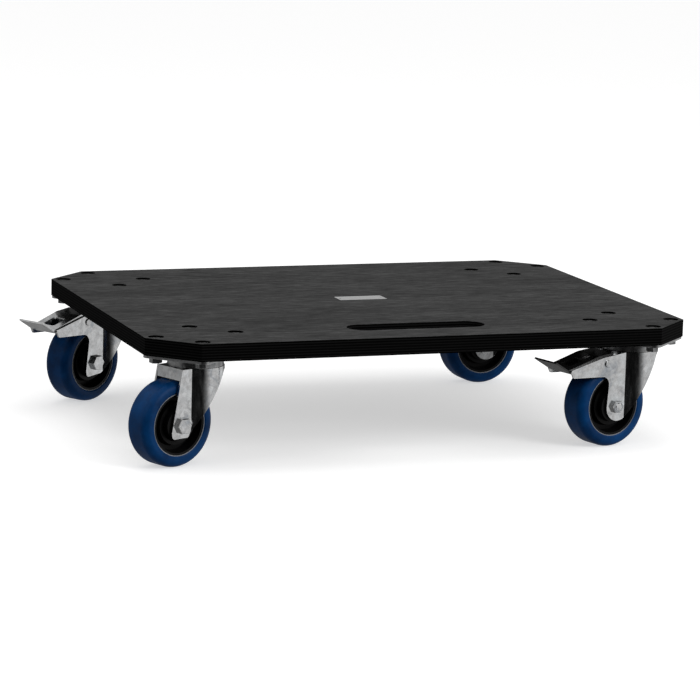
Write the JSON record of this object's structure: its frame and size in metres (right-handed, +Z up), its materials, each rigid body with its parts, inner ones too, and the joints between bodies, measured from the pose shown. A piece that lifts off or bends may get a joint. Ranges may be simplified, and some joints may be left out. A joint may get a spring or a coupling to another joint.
{
  "type": "furniture dolly",
  "caption": "Low platform dolly: a flat deck with cut corners and a hand slot on swivel castors with blue tyres, those on one diagonal with foot brakes.",
  "frame": {"origin": "middle of the deck's top face", "axes": "+Z up, +X along the deck's long side, +Y away from the hand slot"},
  "size_m": [0.7255, 0.53, 0.1485],
  "materials": {
    "film_faced_plywood": "dark film face with a fine streaked grain, edges sealed black",
    "label_aluminium": "satin, blank",
    "dark_rivet": "dark blued",
    "dark_fixing": "dull dark zinc",
    "zinc_steel": "bright zinc plate, mottled",
    "bearing_steel": "polished",
    "blue_tyre": "satin elastic rubber, deep blue",
    "black_rim": "satin black moulding",
    "black_pedal": "satin black coating"
  },
  "bodies": {
    "deck": {"board": "film_faced_plywood", "label_plate": "label_aluminium", "label_rivets": "dark_rivet", "tee_nuts": "dark_fixing", "plate_washers": "zinc_steel", "plate_bolts": "dark_fixing", "castor_plate_front_left": "zinc_steel", "upper_race_front_left": "zinc_steel", "kingpin_front_left": "zinc_steel", "castor_plate_front_right": "zinc_steel", "upper_race_front_right": "zinc_steel", "kingpin_front_right": "zinc_steel", "castor_plate_back_left": "zinc_steel", "upper_race_back_left": "zinc_steel", "kingpin_back_left": "zinc_steel", "castor_plate_back_right": "zinc_steel", "upper_race_back_right": "zinc_steel", "kingpin_back_right": "zinc_steel"},
    "front_left_fork": {"fork_front_left": "zinc_steel", "swivel_balls_front_left": "bearing_steel", "axle_bolt_front_left": "zinc_steel", "axle_nut_front_left": "zinc_steel", "axle_sleeve_front_left": "bearing_steel"},
    "front_left_wheel": {"tyre_front_left": "blue_tyre", "rim_front_left": "black_rim", "wheel_bearings_front_left": "bearing_steel"},
    "front_right_fork": {"fork_front_right": "zinc_steel", "swivel_balls_front_right": "bearing_steel", "axle_bolt_front_right": "zinc_steel", "axle_nut_front_right": "zinc_steel", "axle_sleeve_front_right": "bearing_steel", "pedal_pin_front_right": "zinc_steel"},
    "front_right_wheel": {"tyre_front_right": "blue_tyre", "rim_front_right": "black_rim", "wheel_bearings_front_right": "bearing_steel"},
    "front_right_pedal": {"brake_pedal_front_right": "black_pedal", "brake_shoe_front_right": "zinc_steel"},
    "back_left_fork": {"fork_back_left": "zinc_steel", "swivel_balls_back_left": "bearing_steel", "axle_bolt_back_left": "zinc_steel", "axle_nut_back_left": "zinc_steel", "axle_sleeve_back_left": "bearing_steel", "pedal_pin_back_left": "zinc_steel"},
    "back_left_wheel": {"tyre_back_left": "blue_tyre", "rim_back_left": "black_rim", "wheel_bearings_back_left": "bearing_steel"},
    "back_left_pedal": {"brake_pedal_back_left": "zinc_steel", "brake_shoe_back_left": "zinc_steel"},
    "back_right_fork": {"fork_back_right": "zinc_steel", "swivel_balls_back_right": "bearing_steel", "axle_bolt_back_right": "zinc_steel", "axle_nut_back_right": "zinc_steel", "axle_sleeve_back_right": "bearing_steel"},
    "back_right_wheel": {"tyre_back_right": "blue_tyre", "rim_back_right": "black_rim", "wheel_bearings_back_right": "bearing_steel"}
  },
  "joints": [
    {"name": "front_left_swivel", "type": "hinge", "parent": "deck", "child": "front_left_fork", "pos_m": [-0.271, -0.201, -0.0205], "axis": [0, 0, 1], "continuous": true},
    {"name": "front_left_roll", "type": "hinge", "parent": "front_left_fork", "child": "front_left_wheel", "pos_m": [-0.30438, -0.21449, -0.0985], "axis": [0.3746, -0.9272, 0], "continuous": true},
    {"name": "front_right_swivel", "type": "hinge", "parent": "deck", "child": "front_right_fork", "pos_m": [0.271, -0.201, -0.0205], "axis": [0, 0, 1], "continuous": true},
    {"name": "front_right_roll", "type": "hinge", "parent": "front_right_fork", "child": "front_right_wheel", "pos_m": [0.23623, -0.21032, -0.0985], "axis": [0.2588, -0.9659, 0], "continuous": true},
    {"name": "front_right_brake", "type": "hinge", "parent": "front_right_fork", "child": "front_right_pedal", "pos_m": [0.22174, -0.2142, -0.046], "axis": [0.2588, -0.9659, 0], "range_deg": [0, 10]},
    {"name": "back_left_swivel", "type": "hinge", "parent": "deck", "child": "back_left_fork", "pos_m": [-0.271, 0.201, -0.0205], "axis": [0, 0, 1], "continuous": true},
    {"name": "back_left_roll", "type": "hinge", "parent": "back_left_fork", "child": "back_left_wheel", "pos_m": [-0.30186, 0.18246, -0.0985], "axis": [0.515, -0.8572, 0], "continuous": true},
    {"name": "back_left_brake", "type": "hinge", "parent": "back_left_fork", "child": "back_left_pedal", "pos_m": [-0.31472, 0.17473, -0.046], "axis": [0.515, -0.8572, 0], "range_deg": [0, 10]},
    {"name": "back_right_swivel", "type": "hinge", "parent": "deck", "child": "back_right_fork", "pos_m": [0.271, 0.201, -0.0205], "axis": [0, 0, 1], "continuous": true},
    {"name": "back_right_roll", "type": "hinge", "parent": "back_right_fork", "child": "back_right_wheel", "pos_m": [0.23509, 0.19849, -0.0985], "axis": [0.0698, -0.9976, 0], "continuous": true}
  ]
}
